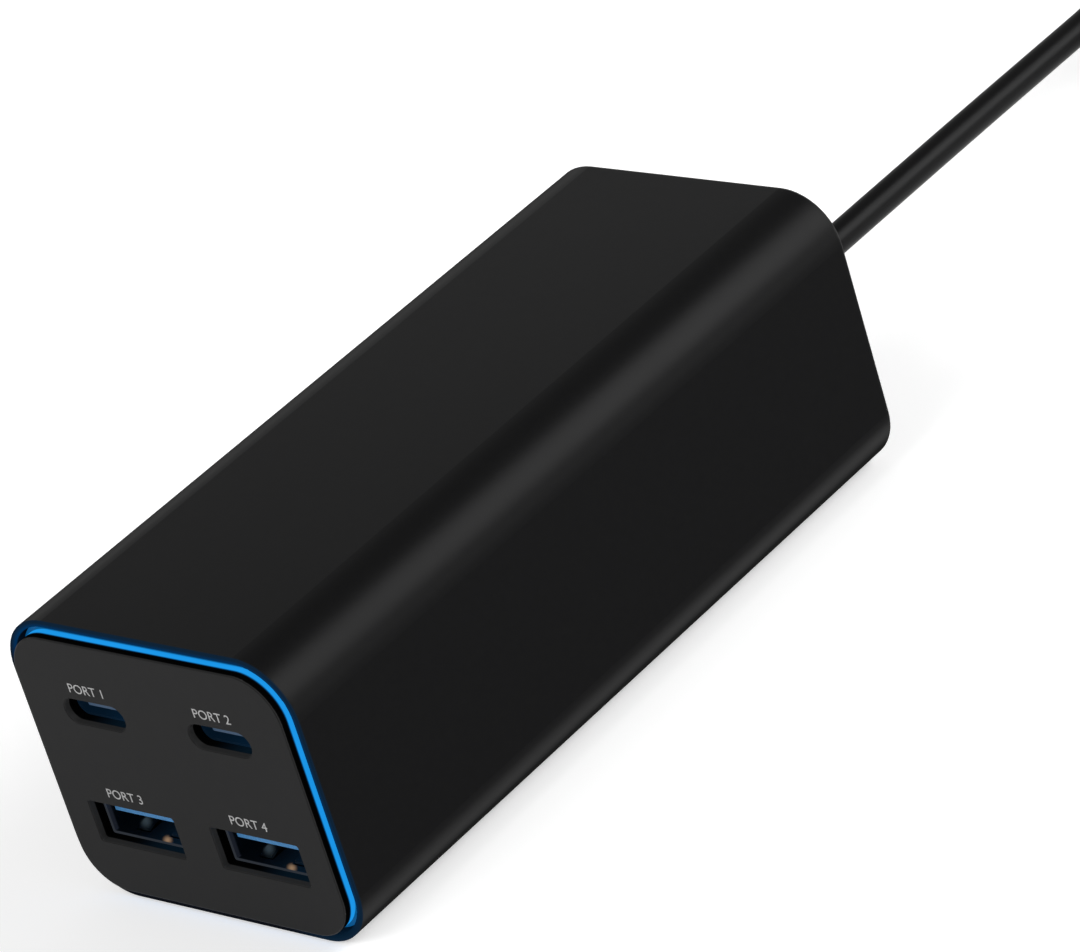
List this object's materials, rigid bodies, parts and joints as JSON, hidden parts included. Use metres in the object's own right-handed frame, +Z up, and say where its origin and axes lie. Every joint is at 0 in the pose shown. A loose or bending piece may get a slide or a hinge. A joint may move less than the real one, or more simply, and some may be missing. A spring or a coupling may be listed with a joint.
{
  "type": "multi port usb desktop charger",
  "caption": "Desktop charger in a long rounded box, with a lit ring round its stepped port plate, sockets for charging leads and a fixed mains cord tied in a hank.",
  "frame": {"origin": "middle of the housing's footprint, on the surface that it stands on", "axes": "+X to the right seen from the front, +Y from the port plate to the back, +Z up"},
  "size_m": [0.0526, 0.3672, 0.0386],
  "materials": {
    "shell_plastic": "fine matt texture",
    "plate_plastic": "smooth satin",
    "ring_diffuser": "lit diffuser",
    "port_steel": "plated sheet",
    "tongue_blue": "moulded",
    "tongue_dark": "moulded",
    "contact_gold": "gold plated",
    "board_green": "solder resist",
    "lamp": "lit",
    "part_black": "moulded",
    "ferrite": "sintered",
    "bobbin_plastic": "moulded",
    "winding_tape": "taped winding",
    "copper_wire": "enamelled wire",
    "pad_grey": "soft pad",
    "capacitor_sleeve": "shrunk sleeve",
    "film_box": "moulded box",
    "fuse_body": "moulded box",
    "spreader_metal": "folded sheet",
    "insulation": "thin film",
    "cord_jacket": "smooth matt",
    "lead_brown": "insulated wire",
    "lead_blue": "insulated wire",
    "tie_strap": "strap",
    "plug_plastic": "moulded",
    "pin_metal": "plated"
  },
  "bodies": {
    "root": {"board_header": "part_black", "bridge_rectifier": "part_black", "bulk_capacitor_1": "capacitor_sleeve", "bulk_capacitor_2": "capacitor_sleeve", "choke_core": "ferrite", "choke_winding_1": "copper_wire", "choke_winding_2": "copper_wire", "control_chip_1": "part_black", "control_chip_2": "part_black", "control_chip_3": "part_black", "cord_hank": "cord_jacket", "cord_lead": "cord_jacket", "cord_tail": "cord_jacket", "cord_tie": "tie_strap", "film_capacitor": "film_box", "front_plate": "plate_plastic", "fuse": "fuse_body", "heat_spreader": "spreader_metal", "housing_shell": "shell_plastic", "insulating_film": "insulation", "led_board": "board_green", "light_ring": "ring_diffuser", "main_board": "board_green", "mains_lead_1": "lead_brown", "mains_lead_2": "lead_blue", "output_capacitor_1": "capacitor_sleeve", "output_capacitor_2": "capacitor_sleeve", "output_capacitor_3": "capacitor_sleeve", "output_capacitor_4": "capacitor_sleeve", "output_inductor_1": "ferrite", "output_inductor_2": "ferrite", "output_inductor_3": "ferrite", "plug_body": "plug_plastic", "plug_pin_1": "pin_metal", "plug_pin_2": "pin_metal", "port_a1_contacts": "contact_gold", "port_a1_shell": "port_steel", "port_a1_tongue": "tongue_blue", "port_a2_contacts": "contact_gold", "port_a2_shell": "port_steel", "port_a2_tongue": "tongue_blue", "port_board": "board_green", "port_c1_contacts": "contact_gold", "port_c1_shell": "port_steel", "port_c1_tongue": "tongue_dark", "port_c2_contacts": "contact_gold", "port_c2_shell": "port_steel", "port_c2_tongue": "tongue_dark", "ring_led_1": "lamp", "ring_led_2": "lamp", "ring_led_3": "lamp", "ring_led_4": "lamp", "ring_led_5": "lamp", "ring_led_6": "lamp", "strain_relief": "cord_jacket", "thermal_pad": "pad_grey", "transformer_bobbin": "bobbin_plastic", "transformer_core": "ferrite", "transformer_winding": "winding_tape"}
  },
  "joints": []
}
